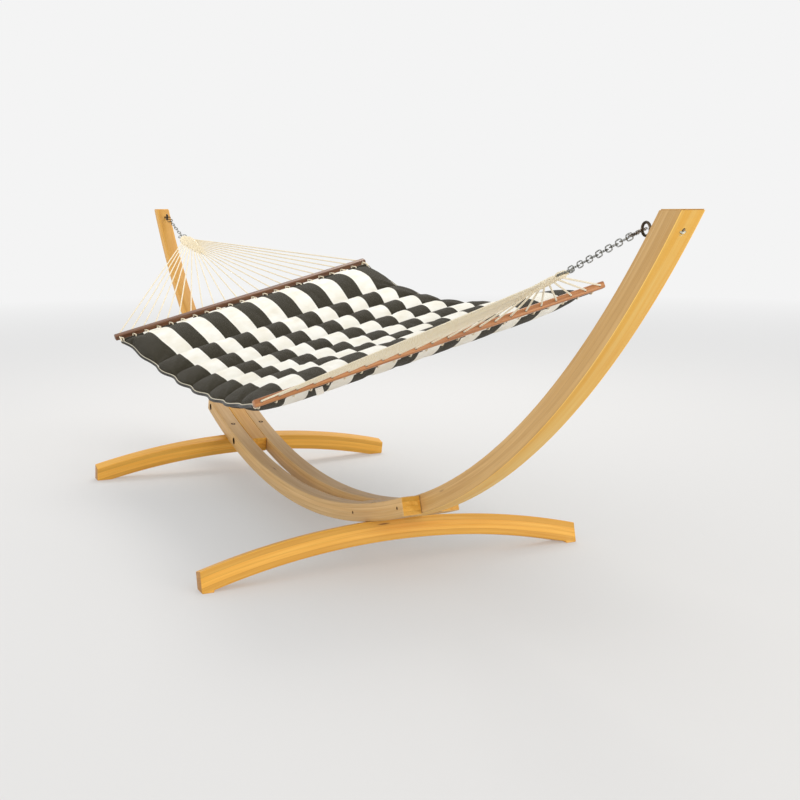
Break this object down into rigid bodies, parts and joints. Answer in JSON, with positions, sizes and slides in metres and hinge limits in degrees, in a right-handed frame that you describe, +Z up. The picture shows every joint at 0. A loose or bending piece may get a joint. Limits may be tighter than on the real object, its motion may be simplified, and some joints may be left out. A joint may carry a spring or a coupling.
{
  "type": "hammock on stand",
  "caption": "Laminated wood arc stand with a quilted striped hammock hung from its arms by chains, rope harnesses and wooden spreader bars.",
  "frame": {"origin": "on the floor under the stand's middle, the bottom centre of the box within the check's tolerance", "axes": "+X along the hammock from one arm to the other, +Y to the back across the hammock, +Z up"},
  "size_m": [4.8706, 1.4078, 1.21],
  "materials": {
    "stand_wood": "oiled laminated softwood, satin",
    "bar_wood": "stained hardwood, satin",
    "zinc_steel": "zinc plated, slightly dull",
    "bronzed_steel": "dark bronzed plating",
    "rope": "twisted synthetic rope, cream",
    "quilt": "woven outdoor canvas, charcoal and ivory stripes",
    "tape": "woven label tape, blank"
  },
  "bodies": {
    "stand": {"arm_right": "stand_wood", "arm_left": "stand_wood", "rail_front": "stand_wood", "rail_back": "stand_wood", "foot_right": "stand_wood", "foot_left": "stand_wood", "lap_bolt_1": "zinc_steel", "lap_bolt_2": "zinc_steel", "lap_bolt_3": "zinc_steel", "lap_bolt_4": "zinc_steel", "lap_nut_1": "zinc_steel", "lap_nut_2": "zinc_steel", "lap_nut_3": "zinc_steel", "lap_nut_4": "zinc_steel", "foot_bolt_1": "zinc_steel", "foot_bolt_2": "zinc_steel", "foot_bolt_3": "zinc_steel", "foot_bolt_4": "zinc_steel", "eye_bolt_right": "bronzed_steel", "eye_bolt_left": "bronzed_steel", "eye_nut_right": "zinc_steel", "eye_nut_left": "zinc_steel"},
    "hammock": {"s_hook_right": "bronzed_steel", "s_hook_left": "bronzed_steel", "chain_right_1": "zinc_steel", "chain_right_2": "zinc_steel", "chain_right_3": "zinc_steel", "chain_right_4": "zinc_steel", "chain_right_5": "zinc_steel", "chain_right_6": "zinc_steel", "chain_right_7": "zinc_steel", "chain_right_8": "zinc_steel", "chain_right_9": "zinc_steel", "chain_right_10": "zinc_steel", "chain_right_11": "zinc_steel", "chain_right_12": "zinc_steel", "chain_right_13": "zinc_steel", "chain_left_1": "zinc_steel", "chain_left_2": "zinc_steel", "chain_left_3": "zinc_steel", "chain_left_4": "zinc_steel", "chain_left_5": "zinc_steel", "chain_left_6": "zinc_steel", "chain_left_7": "zinc_steel", "ring_right": "zinc_steel", "ring_left": "zinc_steel", "harness_right": "rope", "harness_left": "rope", "bar_right": "bar_wood", "bar_left": "bar_wood", "hem_rod_right": "zinc_steel", "hem_rod_left": "zinc_steel", "quilted_bed": "quilt", "sewn_tag": "tape"}
  },
  "joints": [
    {"name": "bed_swing", "type": "hinge", "parent": "stand", "child": "hammock", "pos_m": [0, 0, 1.165], "axis": [1, 0, 0], "range_deg": [-44.4, 15.6]}
  ]
}
